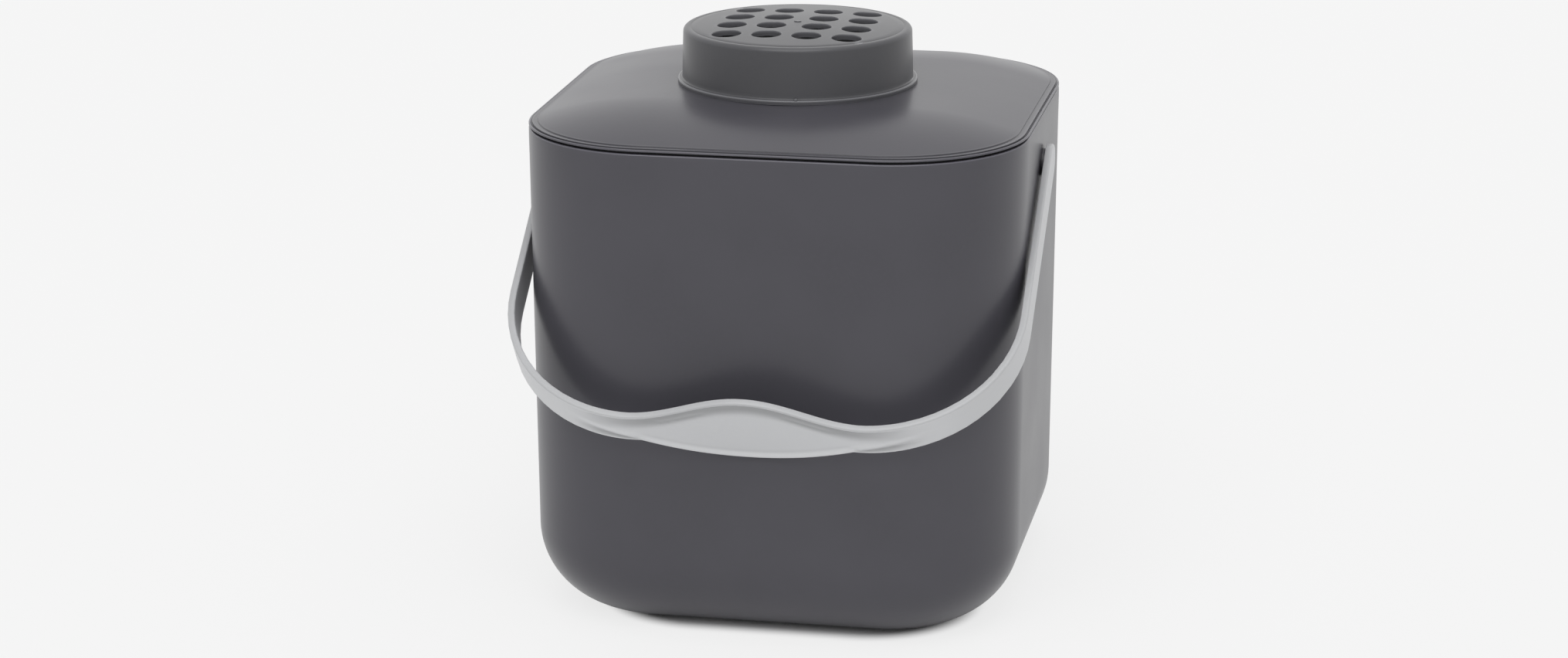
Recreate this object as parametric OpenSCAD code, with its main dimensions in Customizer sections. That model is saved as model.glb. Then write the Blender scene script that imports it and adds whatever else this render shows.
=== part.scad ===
// Compost caddy with a hinged lid, a vented filter cap and a bail handle.
// Every moulding follows one rounded-square plan. The origin is on the worktop under
// the middle of the body, +Z is up and the handle rests on the -Y side.

/* [Body] */
// Width and depth of the body across the middle of its sides, at the rim
body_w = 200; // [180:1:230]
// Height of the body from the worktop to its rim
body_h = 198; // [170:1:240]
// Radius of the upright corners at the rim
corner_r = 55; // [46:1:62]
// How far each side leans in between rim and base
draft = 1.7; // [0.5:0.1:3]
// Radius of the soft edge between the sides and the base
base_r = 33; // [22:1:38]
// Thickness of the body wall and floor
wall = 2.4; // [1.8:0.1:3]
// Thickness of the stiff rim that the seal closes on
rim_w = 4; // [3.4:0.1:5]
// Height of the stiff rim
rim_h = 9; // [6:0.5:14]
// Radius of the outer edge of the rim
rim_r = 1; // [0.5:0.1:1.5]
// Depth of the shallow channel around the base
base_channel = 0.8; // [0.4:0.1:1.4]

/* [Lid] */
// Open gap between the rim and the lid
lid_gap = 0.8; // [0.5:0.1:1.5]
// Height of the crown of the lid above its lower edge
lid_h = 10; // [8:0.5:16]
// Thickness of the lid
lid_wall = 2.2; // [1.6:0.1:3]
// Height of the flat band around the edge of the lid
band_h = 1.4; // [1.1:0.1:2]
// Width of the flat band around the edge of the lid
band_w = 3.4; // [2.5:0.1:3.8]
// Width of the bank between that band and the dome
bank_w = 0.8; // [0.5:0.1:1.2]
// Height of the bank
bank_h = 0.5; // [0.3:0.05:0.8]
// Radius of the outer edge of the band
band_r = 0.9; // [0.4:0.1:1]
// Thickness of the locating skirt under the lid
skirt_t = 2; // [1.4:0.1:3]
// Depth of the locating skirt below the lid
skirt_h = 7; // [4:0.5:10]
// Clearance between the skirt and the rim as the lid swings open
skirt_gap = 0.3; // [0.2:0.1:0.8]
// Width of the flat seal
seal_w = 3.6; // [2.4:0.1:4]
// Clearance between the seal and the rim
seal_gap = 0.1; // [0.05:0.05:0.2]

/* [Hinge] */
// Distance from the middle of the back to each hinge
hinge_x = 38; // [28:1:42]
// Distance of the hinge pins behind the back wall
hinge_out = 5.4; // [5.3:0.1:8]
// Depth of the hinge pins below the rim
hinge_drop = 5.2; // [4.6:0.1:6]
// Radius of the hinge knuckles
knuckle_r = 4.6; // [4.4:0.1:4.7]
// Width of each lid knuckle
knuckle_w = 18; // [12:0.5:22]
// Thickness of each lug on the body
lug_t = 4; // [3:0.5:6]
// Side clearance between knuckle and lug
knuckle_gap = 0.3; // [0.2:0.1:0.6]
// Radius of the hinge pins
pin_r = 1.8; // [1.5:0.1:2]
// Radius of the head of each hinge pin
pin_head_r = 2.8; // [2.5:0.1:3.4]
// Thickness of the head of each hinge pin
pin_head_t = 1.2; // [0.8:0.1:2]
// Radial clearance of the pins in the lugs
lug_fit = 0.03; // [0.02:0.01:0.06]
// Radial clearance of the pins in the lid knuckles
knuckle_fit = 0.07; // [0.04:0.01:0.1]

/* [Filter cap] */
// Distance of the cap in front of the middle of the lid
cap_forward = 4; // [0:0.5:6]
// Radius of the cap wall at its top
cap_r = 46.2; // [45.5:0.1:48]
// Draft of the cap wall
cap_draft = 0.5; // [0.2:0.1:1]
// Height of the cap above the lid
cap_h = 23.7; // [21:0.1:30]
// Thickness of the cap wall
cap_wall = 1.8; // [1.4:0.1:2.2]
// Thickness of the vented top
cap_top_t = 2.2; // [1.6:0.1:3]
// Rise of the crowned top
cap_crown = 1.7; // [0.8:0.1:3]
// Radius of the top edge
cap_edge_r = 1.8; // [1:0.1:3]
// Width of the flange around the foot of the cap
flange_w = 1.8; // [1.6:0.1:4]
// Height of the flange
flange_h = 1.6; // [1.2:0.1:2.4]
// Radius of the fillet between the flange and the wall of the cap
flange_fillet = 0.8; // [0.5:0.1:1.2]
// Clearance under the flange
cap_gap = 0.25; // [0.1:0.05:0.5]
// Radius of each vent hole
vent_r = 5.9; // [3:0.1:6.4]
// Distance between the rows of vent holes
vent_pitch = 16.2; // [14.5:0.1:17]
// Extra distance of the two middle rows from the centre line
vent_spread = 1.1; // [0:0.1:1.5]
// Width of the index rib on the flange
index_w = 1.2; // [0.8:0.1:2]

/* [Filter seat] */
// Inner radius of the collar that holds the tray
collar_in_r = 39.6; // [38:0.1:40]
// Thickness of the collar
collar_t = 2.8; // [2:0.1:3]
// Height of the collar
collar_h = 11; // [9:0.5:12]
// Width of the ledge that the tray stands on
ledge_w = 3.6; // [2:0.1:6]
// Reach of the bayonet lugs on collar and cap
bayonet_reach = 1.6; // [1:0.1:1.6]
// Height of the bayonet lugs
bayonet_h = 2; // [1.4:0.1:2.4]
// Angle that each bayonet lug spans
bayonet_span = 40; // [24:1:50]
// Clearance of the tray in the collar
tray_gap = 0.3; // [0.2:0.1:0.6]
// Thickness of the tray floor and rim
tray_t = 1.5; // [1:0.1:2.2]
// Height of the tray
tray_h = 6; // [4:0.5:8]
// Radius of each hole in the tray
grille_r = 2.5; // [1.5:0.1:2.8]
// Distance between holes in the tray
grille_pitch = 7.4; // [6.4:0.1:9]
// Clearance of the filter in the tray
filter_gap = 0.4; // [0.3:0.1:1]
// Thickness of the charcoal filter
filter_t = 10; // [6:0.5:10]
// Thickness of the ribs that hold the filter down
holddown_t = 1.6; // [1:0.1:2.4]

/* [Handle] */
// Distance of the handle pivots below the rim
pivot_drop = 20; // [16:1:30]
// Width of the strap
strap_w = 15; // [12:0.5:18]
// Thickness of the strap
strap_t = 2.8; // [2.4:0.1:4]
// Clearance between the arms and the sides of the body
arm_gap = 1.1; // [1:0.1:3]
// Distance from the pivots to the outside of the grip end
handle_reach = 142.8; // [138:0.2:150]
// Radius of the bends between the arms and the grip
bend_r = 59; // [50:1:64]
// How far the middle of the grip dips towards the body
grip_dip = 2; // [1:0.1:3]
// Width of the leaf-shaped grip pad
pad_w = 35.6; // [28:0.2:40]
// Length of the leaf-shaped grip pad along its upper edge
pad_l = 95; // [80:1:104]
// Distance from the middle of the pad to the notches of its lower edge
notch_x = 42; // [38:0.5:44]
// Depth of the hollow in the pad
pad_hollow = 1.5; // [0.8:0.1:1.8]
// Width of the rim around the hollow
pad_rim = 2.4; // [1.6:0.1:4]
// Gap between the pad and the front wall when the handle rests
rest_gap = 0.3; // [0.3:0.1:1]
// Radius of the pivot pegs
peg_r = 3.2; // [2.6:0.1:3.6]
// Radial clearance of the pegs in the body
peg_fit = 0.05; // [0.03:0.01:0.1]
// Radius of the stand-off bosses around the peg holes
boss_r = 5.5; // [5:0.1:7]
// Height of the bosses inside the wall
boss_h = 0.6; // [0.4:0.1:1]
// Side play between the bosses and the arms
boss_play = 0.25; // [0.1:0.05:0.5]
// How far the snap head stands out from the peg
snap_lip = 0.8; // [0.5:0.1:1.2]

/* [Hidden] */
$fn = 96;
over = 0.5;          // overlap of pieces that are one moulding
fillet_blend = 0.02; // lets a fillet cross the faces that it joins
graphite = "#4d4d50";
light_grey = "#c3c4c8";

// The plan: straight sides joined by round corners
half_w = body_w / 2;
corner_c = half_w - corner_r;
// Distance of the outline behind the middle, at x
function plan_edge(x) = x <= corner_c ? half_w
    : corner_c + sqrt(corner_r * corner_r - pow(x - corner_c, 2));

// Lid levels
lid_z = body_h + lid_gap;
lid_top = lid_z + lid_h;
dome_in = band_w + bank_w;
dome_start = band_h + bank_h;
bank_step = 0.1;                                     // small ledge on top of the bank
dome_x = corner_r - dome_in;
dome_drop = lid_h - dome_start;
dome_r = (dome_x * dome_x + dome_drop * dome_drop) / (2 * dome_drop);

// Hinge axis, and the wall that the lugs stand on
hinge_y = half_w + hinge_out;
hinge_z = body_h - hinge_drop;
// inset of the skirt's outer face, which swings past the rim at the back
swing_in = hinge_y - (half_w - rim_w);
skirt_out = rim_w + skirt_gap + sqrt(swing_in * swing_in + hinge_drop * hinge_drop) - swing_in;
wall_play = 0.5;                                     // from the back wall to the lid's straps
lug_lean = 25;                                       // lean of the gusset under each lug
lug_len = knuckle_w + 2 * (knuckle_gap + lug_t);

// Cap and filter levels
cap_z = lid_top + cap_gap;
cap_edge_x = cap_r - cap_edge_r;
cap_crown_r = (cap_edge_x * cap_edge_x + cap_crown * cap_crown) / (2 * cap_crown);
cap_in_r = cap_r - cap_wall;
collar_out_r = collar_in_r + collar_t;
bayonet_gap = 0.3;                                   // play between the two sets of lugs
bayonet_z = collar_h - bayonet_h - 0.6;
tray_z = lid_top + 0.1;
tray_r = collar_in_r - tray_gap;
filter_z = tray_z + tray_t + 0.1;
filter_r = tray_r - tray_t - filter_gap;
holddown_z = filter_z + filter_t + 0.3;

// Handle: the bail lies in a plane through the pivots
pivot_z = body_h - pivot_drop;
function wall_at(z) = half_w - draft * (body_h - z) / body_h;
arm_in = half_w + arm_gap;
arm_out = arm_in + strap_t;
boss_out = arm_in - boss_play;
boss_in = wall_at(pivot_z) - wall - boss_h;
bend_d = handle_reach - bend_r;
bend_x = arm_out - bend_r;
snap_play = 0.2;                                     // play of the snap head
snap_t = 1.4;
pad_reach = handle_reach - grip_dip - strap_t;       // inner face at the middle of the pad
// Angle below level at which the lower edge of the pad meets the front wall
rest_a = rest_angle(40, 12);
function rest_angle(a, n) = n == 0 ? a :
    rest_angle(acos((wall_at(pivot_z - pad_reach * sin(a) - pad_w / 2 * cos(a))
                     + rest_gap + pad_w / 2 * sin(a)) / pad_reach), n - 1);

// ---------- shapes that repeat ----------

// Sweeps a wall profile around the plan. In the profile x runs outwards from the corner
// axis, so that corner_r is the outline at the rim, and y is the height.
module sweep_plan() {
    for (q = [0:3]) rotate(q * 90) translate([corner_c, 0, 0]) {
        translate([0, corner_c, 0]) rotate_extrude(angle = 90, $fn = 128) children();
        rotate([90, 0, 0]) linear_extrude(2 * corner_c, center = true) children();
    }
}

// Square plate that closes the middle of a swept shape
module middle_plate(z, t) {
    translate([-corner_c, -corner_c, z]) cube([2 * corner_c, 2 * corner_c, t]);
}

// Solid section of the body, inset from the outline, with a round lower edge
module body_section(inset, z0, r) {
    lean = atan(draft / body_h);
    zc = z0 + r;
    xc = corner_r - draft * (body_h - zc) / body_h - (inset + r) / cos(lean);
    intersection() {
        union() {
            polygon([[0, z0], [xc, z0], [xc + r * cos(lean), zc - r * sin(lean)],
                     [corner_r - inset / cos(lean), body_h], [0, body_h]]);
            translate([xc, zc]) circle(r + fillet_blend, $fn = 128);
        }
        translate([0, z0]) square([corner_r, body_h - z0]);
    }
}

// One profile bar between two points of the Y-Z plane, extruded along X and centred
module x_prism(len) {
    rotate([90, 0, 90]) linear_extrude(len, center = true) children();
}

// Cylinder along X, centred
module x_cyl(r, len) {
    rotate([0, 90, 0]) cylinder(r = r, h = len, center = true);
}

// ---------- the body ----------

module body_profile() {
    difference() {
        body_section(0, 0, base_r);
        difference() {
            body_section(wall, wall, base_r - wall);
            // stiff rim with a sloping underside
            polygon([[corner_r - rim_w, body_h + 1], [corner_r + 1, body_h + 1],
                     [corner_r + 1, body_h - rim_h - 2 * rim_w],
                     [corner_r - wall, body_h - rim_h - (rim_w - wall)],
                     [corner_r - rim_w, body_h - rim_h]]);
        }
        // soft outer edge of the rim
        translate([corner_r - rim_r, body_h - rim_r]) difference() {
            square(rim_r + 1);
            circle(rim_r + fillet_blend);
        }
        // channel around the flat of the base
        translate([corner_r - draft - base_r - 6, -1])
            square([3, 1 + base_channel]);
    }
}

// Lug at a distance x from the middle, rooted inside the wall
module hinge_lug(x) {
    a = lug_lean;
    root = plan_edge(x + lug_t / 2) - wall / 2;
    translate([x, 0, 0]) x_prism(lug_t) {
        translate([hinge_y, hinge_z]) circle(knuckle_r);
        polygon([[root, hinge_z + knuckle_r * sin(110)
                        - (hinge_y + knuckle_r * cos(110) - root) * tan(20)],
                 [hinge_y + knuckle_r * cos(110), hinge_z + knuckle_r * sin(110)],
                 [hinge_y, hinge_z],
                 [hinge_y + knuckle_r * cos(a), hinge_z - knuckle_r * sin(a)],
                 [root, hinge_z - knuckle_r * sin(a)
                        - (hinge_y + knuckle_r * cos(a) - root) / tan(a)]]);
    }
}

module bin_body() color(graphite) difference() {
    union() {
        sweep_plan() body_profile();
        middle_plate(0, wall);
        for (s = [0, 1]) mirror([s, 0, 0]) {
            // stand-off bosses of the pivots, through the wall
            translate([(boss_out + boss_in) / 2, 0, pivot_z]) x_cyl(boss_r, boss_out - boss_in);
            for (e = [-1, 1]) hinge_lug(hinge_x + e * (lug_len - lug_t) / 2);
        }
    }
    translate([0, 0, pivot_z]) x_cyl(peg_r + peg_fit, 2 * body_w);
    translate([0, hinge_y, hinge_z]) x_cyl(pin_r + lug_fit, body_w);
}

// ---------- the lid ----------

module lid_profile() {
    dome_c = lid_h - dome_r;
    difference() {
        union() {
            intersection() {
                translate([0, dome_c]) circle(dome_r, $fn = 360);
                square([dome_x, lid_h + 1]);
            }
            polygon([[0, 0], [corner_r, 0], [corner_r, band_h - band_r],
                     [corner_r - band_r, band_h], [corner_r - band_w, band_h],
                     [dome_x + bank_step, dome_start - bank_step],
                     [0, dome_start - bank_step]]);
            translate([corner_r - band_r, band_h - band_r]) circle(band_r);
        }
        intersection() {
            translate([0, dome_c]) circle(dome_r - lid_wall, $fn = 360);
            translate([0, -lid_h]) square([corner_r - skirt_out - skirt_t, 2 * lid_h]);
        }
    }
    translate([corner_r - skirt_out - skirt_t, -skirt_h])
        square([skirt_t, skirt_h + band_h / 2]);
}

// Three bayonet lugs around a circle
module bayonet(r_in, r_out, z) {
    for (a = [0:120:240]) rotate(a - 90 - bayonet_span / 2)
        rotate_extrude(angle = bayonet_span)
            translate([r_in, z]) square([r_out - r_in, bayonet_h]);
}

module hinge_knuckle() {
    // strap from the edge of the lid, behind the rim and around the pin
    root = plan_edge(hinge_x + knuckle_w / 2) - band_w + band_r;
    top = lid_z + band_h - 0.2;
    front = half_w + wall_play;
    x_prism(knuckle_w) {
        translate([hinge_y, hinge_z]) circle(knuckle_r);
        polygon([[root, lid_z + 0.3], [root, top], [half_w, top],
                 [hinge_y + knuckle_r * 0.3, hinge_z + knuckle_r * 0.8],
                 [hinge_y, hinge_z], [front, hinge_z], [front, body_h],
                 [half_w - 0.2, lid_z + 0.1]]);
    }
}

module lid_shell() color(graphite) difference() {
    union() {
        translate([0, 0, lid_z]) sweep_plan() lid_profile();
        middle_plate(lid_top - lid_wall, lid_wall);
        translate([0, -cap_forward, lid_top - lid_wall / 2]) {
            cylinder(r = collar_out_r, h = collar_h + lid_wall / 2);
        }
        translate([0, -cap_forward, lid_top])
            bayonet(collar_out_r - over, collar_out_r + bayonet_reach, bayonet_z);
        for (s = [-1, 1]) translate([s * hinge_x, 0, 0]) hinge_knuckle();
    }
    translate([0, -cap_forward, lid_top]) {
        cylinder(r = collar_in_r, h = collar_h + 1);
        translate([0, 0, -lid_wall - 1]) cylinder(r = collar_in_r - ledge_w, h = lid_wall + 2);
    }
    translate([0, hinge_y, hinge_z]) x_cyl(pin_r + knuckle_fit, body_w);
}

module lid_seal() color("#2a2a2c")
    sweep_plan() translate([corner_r - skirt_out, body_h + seal_gap])
        square([seal_w, lid_gap - seal_gap]);

module hinge_pin(side) color("silver")
    translate([side * hinge_x, hinge_y, hinge_z]) {
        x_cyl(pin_r, lug_len);
        translate([side * (lug_len + pin_head_t) / 2, 0, 0]) x_cyl(pin_head_r, pin_head_t);
    }

module hinge_pin_left() hinge_pin(-1);
module hinge_pin_right() hinge_pin(1);

// ---------- the filter and its cap ----------

// Section of the cap, shrunk by t at its side and by t_top at its top
module cap_section(t, t_top) {
    x1 = cap_r - t;
    x0 = x1 + cap_draft;
    r = max(cap_edge_r - t, 0.3);
    top = cap_h - t_top;
    edge = top - cap_crown;
    polygon([[0, -over * sign(t)], [x0, -over * sign(t)], [x1, edge - r], [x1 - r, edge], [0, edge]]);
    translate([x1 - r, edge - r]) circle(r);
    intersection() {
        translate([0, top - cap_crown_r]) circle(cap_crown_r, $fn = 720);
        translate([0, edge - 1]) square([x1 - r, cap_crown + 2]);
    }
}

module filter_cap() color(graphite) translate([0, -cap_forward, cap_z]) {
    foot_r = cap_r + cap_draft;
    difference() {
        union() {
            rotate_extrude($fn = 180) {
                difference() {
                    cap_section(0, 0);
                    cap_section(cap_wall, cap_top_t);
                }
                // flange with a round edge and a fillet up to the wall
                translate([foot_r - 1, 0]) square([flange_w + 1 - flange_h / 2, flange_h]);
                translate([foot_r + flange_w - flange_h / 2, flange_h / 2]) circle(flange_h / 2);
                translate([foot_r - 1, flange_h]) difference() {
                    square([1 + flange_fillet, flange_fillet]);
                    translate([1 + flange_fillet, flange_fillet]) circle(flange_fillet);
                }
            }
            bayonet(collar_out_r + bayonet_gap, cap_in_r + over,
                    lid_top - cap_z + bayonet_z - bayonet_gap - bayonet_h);
            // ribs that hold the filter down
            for (a = [0:90:270]) rotate(a)
                translate([cap_in_r * 0.7, -holddown_t / 2, holddown_z - cap_z])
                    cube([cap_in_r * 0.3 + over, holddown_t,
                          cap_z + cap_h - cap_crown - cap_top_t / 2 - holddown_z]);
            // index rib at the front of the flange
            translate([-index_w / 2, -foot_r - flange_w + 0.2, 0])
                cube([index_w, flange_w, flange_h + 0.5]);
        }
        for (row = [-1.5:1:1.5], col = [-1.5:1:1.5])
            translate([col * vent_pitch + sign(col) * (abs(row) < 1 ? vent_spread : 0),
                       row * vent_pitch, cap_h - cap_crown - cap_top_t - 1])
                cylinder(r = vent_r, h = cap_crown + cap_top_t + 2);
    }
    // moulding point in the middle of the top
    translate([0, 0, cap_h - 0.5]) cylinder(r = 1.5, h = 0.8);
}

module filter_tray() color("#38383a") translate([0, -cap_forward, tray_z]) difference() {
    cylinder(r = tray_r, h = tray_h);
    translate([0, 0, tray_t]) cylinder(r = tray_r - tray_t, h = tray_h);
    limit = collar_in_r - ledge_w - grille_r - 1;
    n = floor(limit / grille_pitch);
    for (i = [-n:n], j = [-n:n]) {
        x = (i + j / 2) * grille_pitch;
        y = j * grille_pitch * sqrt(3) / 2;
        if (norm([x, y]) < limit)
            translate([x, y, -1]) cylinder(r = grille_r, h = tray_t + 2, $fn = 32);
    }
}

module charcoal_filter() color("#1a1a1a") translate([0, -cap_forward, filter_z])
    rotate_extrude() {
        square([filter_r - 1, filter_t]);
        translate([0, 1]) square([filter_r, filter_t - 2]);
        for (z = [1, filter_t - 1]) translate([filter_r - 1, z]) circle(1, $fn = 32);
    }

// ---------- the handle ----------

// The bail is drawn flat: x across, y along the reach and z across the width of the strap

// Reach of the outer face of the grip end, which dips in the middle
function grip_line(x) = handle_reach - grip_dip * (1 + cos(180 * x / bend_x)) / 2;

// Edges of the leaf-shaped pad: the upper one is a wave, and the lower one cuts into the
// edge of the strap and leaves a notch there
function leaf_upper(x) = -(strap_w + (pad_w - strap_w) * pow(cos(180 * x / pad_l), 2)) / 2;
function leaf_lower(x) = (strap_w + (pad_w - strap_w) * cos(90 * x / notch_x)) / 2;

function steps(reach, n) = [for (i = [-n:n]) reach * i / n];
function reversed(list) = [for (i = [len(list) - 1:-1:0]) list[i]];

// Slice of the grip end between two depths below its outer face
module grip_slice(d0, d1) {
    xs = steps(bend_x, 30);
    polygon(concat([for (x = xs) [x, grip_line(x) - d0]],
                   [for (x = reversed(xs)) [x, grip_line(x) - d1]]));
}

// One bend of the strap
module bend_slice() intersection() {
    difference() {
        circle(bend_r, $fn = 180);
        circle(bend_r - strap_t, $fn = 180);
    }
    square(bend_r + 1);
}

// Prism of an outline in x and z, through the grip end
module grip_prism() {
    translate([0, handle_reach + 1, 0]) rotate([90, 0, 0])
        linear_extrude(grip_dip + strap_t + 2) children();
}

module leaf_shape() {
    xs = steps(pad_l / 2, 30);
    polygon(concat([for (x = xs) [x, leaf_lower(x)]],
                   [for (x = reversed(xs)) [x, leaf_upper(x)]]));
}

module hollow_shape() {
    xs = steps(pad_l * 0.38, 24);
    polygon(concat([for (x = xs) [x, leaf_lower(x) - pad_rim]],
                   [for (x = reversed(xs)) [x, leaf_upper(x) + pad_rim]]));
}

module bail_arm() {
    linear_extrude(strap_w, center = true) {
        translate([arm_in, 0]) square([strap_t, bend_d]);
        translate([bend_x, bend_d]) bend_slice();
    }
    // round eye and snap peg
    translate([arm_in + strap_t / 2, 0, 0]) x_cyl(strap_w / 2, strap_t);
    snap_x = boss_in - snap_play;
    peg_len = arm_in - snap_x + snap_t + over;
    difference() {
        union() {
            translate([arm_in + over - peg_len / 2, 0, 0]) x_cyl(peg_r, peg_len);
            translate([snap_x - snap_t / 2, 0, 0]) x_cyl(peg_r + snap_lip, snap_t);
        }
        // slot that lets the snap head close
        translate([snap_x - 5 + wall, -0.6, -boss_r]) cube([5, 1.2, 2 * boss_r]);
    }
}

module carry_handle() color(light_grey)
    translate([0, 0, pivot_z]) rotate([180 + rest_a, 0, 0]) {
        for (s = [0, 1]) mirror([s, 0, 0]) bail_arm();
        difference() {
            union() {
                linear_extrude(strap_w, center = true) grip_slice(0, strap_t);
                intersection() {
                    linear_extrude(pad_w + 1, center = true) grip_slice(0, strap_t);
                    grip_prism() leaf_shape();
                }
            }
            intersection() {
                linear_extrude(pad_w + 1, center = true) grip_slice(-1, pad_hollow);
                grip_prism() hollow_shape();
            }
        }
    }

bin_body();
lid_shell();
lid_seal();
hinge_pin_left();
hinge_pin_right();
filter_cap();
filter_tray();
charcoal_filter();
carry_handle();
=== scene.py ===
from contextlib import contextmanager
from itertools import product
from math import asin, atan, atan2, copysign, cos, degrees, exp, hypot, pi, radians, sin, sqrt, tan

import bmesh
import bpy
from bpy.props import FloatProperty, FloatVectorProperty, IntProperty, PointerProperty
from bpy.types import Operator, Panel, PropertyGroup
from mathutils import Matrix, Vector


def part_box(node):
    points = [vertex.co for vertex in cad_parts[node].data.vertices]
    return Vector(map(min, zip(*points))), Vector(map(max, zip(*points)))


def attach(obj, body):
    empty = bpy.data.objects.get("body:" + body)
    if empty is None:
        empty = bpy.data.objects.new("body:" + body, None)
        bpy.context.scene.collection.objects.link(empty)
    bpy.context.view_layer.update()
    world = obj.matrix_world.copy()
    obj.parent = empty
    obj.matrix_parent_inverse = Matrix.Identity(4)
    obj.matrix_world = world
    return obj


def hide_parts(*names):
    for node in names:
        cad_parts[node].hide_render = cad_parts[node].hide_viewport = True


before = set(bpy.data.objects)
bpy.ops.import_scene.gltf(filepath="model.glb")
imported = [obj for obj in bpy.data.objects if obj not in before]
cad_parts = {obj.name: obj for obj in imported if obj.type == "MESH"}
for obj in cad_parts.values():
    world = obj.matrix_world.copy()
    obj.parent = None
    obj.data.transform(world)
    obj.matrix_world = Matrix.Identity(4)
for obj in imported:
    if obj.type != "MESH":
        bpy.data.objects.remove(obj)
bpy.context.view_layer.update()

bl_info = {
    "name": "Compost Caddy",
    "version": (1, 0, 0),
    "blender": (4, 5, 0),
    "location": "View3D > Sidebar > Caddy",
    "description": "Models and finishes a worktop compost caddy around its packed frame",
    "category": "Add Mesh",
}

MM = 0.001
FLAT = 0.99  # normals this steep belong to level faces
LUG_SPAN = 40  # degrees of each bayonet lug


def linear(red, green, blue):
    """Colour for a shader from the 0 to 255 numbers that a screen shows."""
    parts = [part / 255 for part in (red, green, blue)]
    return tuple(p / 12.92 if p <= 0.04045 else ((p + 0.055) / 1.055) ** 2.4 for p in parts)


def length(name, description, millimetres):
    """Setting for a length, kept in metres."""
    return FloatProperty(
        name=name, description=description, default=millimetres * MM, unit="LENGTH", precision=5
    )


def angle(name, description, turn):
    """Setting for an angle, given in degrees and kept in radians."""
    return FloatProperty(
        name=name, description=description, default=radians(turn), subtype="ANGLE", precision=5
    )


def colour(name, description, red, green, blue):
    """Setting for a colour, given by its screen numbers."""
    shade = linear(red, green, blue)
    return FloatVectorProperty(
        name=name, description=description, default=shade, subtype="COLOR", min=0, max=1
    )


# --- sizes and colours ---


class BodySizes(PropertyGroup):
    """Sizes of the rounded-square body"""

    half: length("Half width", "Half the width at the rim", 100)
    height: length("Height", "Worktop to rim", 198)
    corner: length("Corner radius", "Radius of the upright corners", 55)
    draft: length("Draft", "Lean of each side from rim to base", 1.7)
    base: length("Base radius", "Radius between sides and base", 33)
    wall: length("Wall", "Thickness of the wall and floor", 2.4)
    rim_width: length("Rim width", "Thickness of the stiff rim", 4)
    rim_height: length("Rim height", "Height of the stiff rim", 9)
    rim_round: length("Rim radius", "Radius of its outer edge", 0.7)
    channel: length("Base channel", "Depth of the channel below", 0.8)
    boss: length("Boss radius", "Radius of the pivots' bosses", 5.5)
    steps: IntProperty(name="Corner steps", description="Facets of each corner", default=28)


class LidSizes(PropertyGroup):
    """Sizes of the lid and its hinge"""

    gap: length("Gap", "Gap between rim and lid", 0.8)
    height: length("Height", "Lower edge to the crown", 10)
    wall: length("Wall", "Thickness of the lid", 2.2)
    band_height: length("Band height", "Height of the edge band", 1.4)
    band_width: length("Band width", "Width of the edge band", 3.4)
    band_round: length("Band radius", "Radius of its outer edge", 0.9)
    bank_width: length("Bank width", "Width of the bank inside the band", 0.8)
    bank: length("Bank", "Height of the bank inside the band", 0.5)
    skirt_out: length("Skirt inset", "From the outline in to the skirt", 5.642)
    skirt: length("Skirt", "Thickness of the skirt", 2)
    skirt_drop: length("Skirt depth", "Depth of the skirt below the lid", 7)
    hinge_x: length("Hinge distance", "Middle of the back to each hinge", 38)
    hinge_y: length("Hinge setback", "Middle of the body to the pins", 105.4)
    hinge_z: length("Hinge height", "Worktop to the pins", 192.8)
    knuckle: length("Knuckle radius", "Radius of knuckles and lugs", 4.6)
    knuckle_width: length("Knuckle width", "Width of each lid knuckle", 18)
    lug: length("Lug", "Thickness of each lug", 4)
    pin: length("Pin radius", "Radius of the hinge pins", 1.8)


class CapSizes(PropertyGroup):
    """Sizes of the vented filter cap and what sits under it"""

    forward: length("Forward", "In front of the middle of the lid", 4)
    foot: length("Foot height", "Flange above the worktop", 209.05)
    radius: length("Radius", "Radius of the wall at its top", 46.2)
    draft: length("Draft", "Draft of the wall", 0.5)
    height: length("Height", "Flange to the crown of the top", 23.7)
    wall: length("Wall", "Thickness of the wall", 1.8)
    top: length("Top", "Thickness of the vented top", 2.2)
    crown: length("Crown", "Rise of the crowned top", 1.7)
    edge: length("Edge radius", "Radius of the top edge", 1.8)
    flange: length("Flange", "Width beyond the wall", 1.8)
    flange_high: length("Flange height", "Height of the flange", 1.6)
    fillet: length("Fillet", "Radius between flange and wall", 0.8)
    vent: length("Vent radius", "Radius of each vent hole", 5.9)
    pitch: length("Vent pitch", "Distance between rows of vents", 16.2)
    spread: length("Vent spread", "Extra distance in the middle rows", 1.1)
    index: angle("Index", "Turn of the index rib from the front", 9.8)
    seat: length("Seat radius", "Inside of the collar under the cap", 39.6)
    collar: length("Collar", "Thickness of that collar", 2.8)


class HandleSizes(PropertyGroup):
    """Sizes of the bail handle"""

    pivot: length("Pivot height", "Worktop to the pivots", 178)
    reach: length("Reach", "Pivots to the outside of the grip end", 142.8)
    inside: length("Arm inside", "Middle of the body to each arm", 101.1)
    width: length("Strap width", "Width of the strap", 15)
    thick: length("Strap thickness", "Thickness of the strap", 2.8)
    bend: length("Bend radius", "Radius of the bends", 59)
    dip: length("Grip dip", "Dip of the middle towards the body", 2)
    pad: length("Pad width", "Width of the leaf-shaped pad", 35.6)
    pad_long: length("Pad length", "Length of the upper wave of the pad", 95)
    notch: length("Notch distance", "Middle of the pad to its notches", 42)
    hollow: length("Hollow", "Depth of the hollow in the pad", 1.7)
    peg: length("Peg radius", "Radius of the pivot pegs", 3.2)
    rest: angle("Rest angle", "Angle of the bail below level at rest", 37.1224)


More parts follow.
